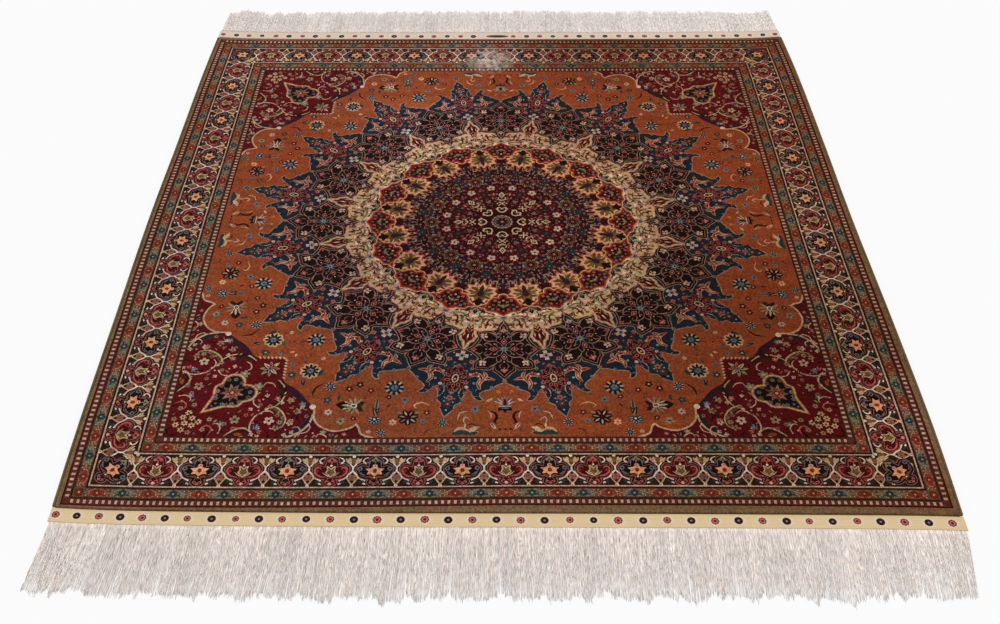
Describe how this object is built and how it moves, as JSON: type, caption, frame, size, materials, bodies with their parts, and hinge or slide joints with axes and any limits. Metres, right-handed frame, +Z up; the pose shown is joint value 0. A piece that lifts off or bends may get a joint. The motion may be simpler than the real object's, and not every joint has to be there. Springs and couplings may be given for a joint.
{
  "type": "hereke rug",
  "caption": "Square knotted silk rug lying flat, with a round medallion design, flat-woven end bands, corded sides and a loose fringe at both ends.",
  "frame": {"origin": "middle of the whole rug's footprint, fringes included, on the floor under it", "axes": "+Z up out of the pile, +Y along the warps from the near end to the far end, which carries the blank cartouche, +X across the rug along its wefts"},
  "size_m": [1.204, 1.467, 0.0045],
  "materials": {
    "pile": "clipped silk pile, knotted design in dark brown, red, navy, orange and cream",
    "side_cord": "silk wrapped over the outer warps",
    "kilim": "flat weft-faced silk weave with small dots",
    "fringe": "loose undyed silk warp ends"
  },
  "bodies": {
    "root": {"pile": "pile", "side_cord_left": "side_cord", "side_cord_right": "side_cord", "kilim_near": "kilim", "kilim_far": "kilim", "fringe_near": "fringe", "fringe_far": "fringe"}
  },
  "joints": []
}
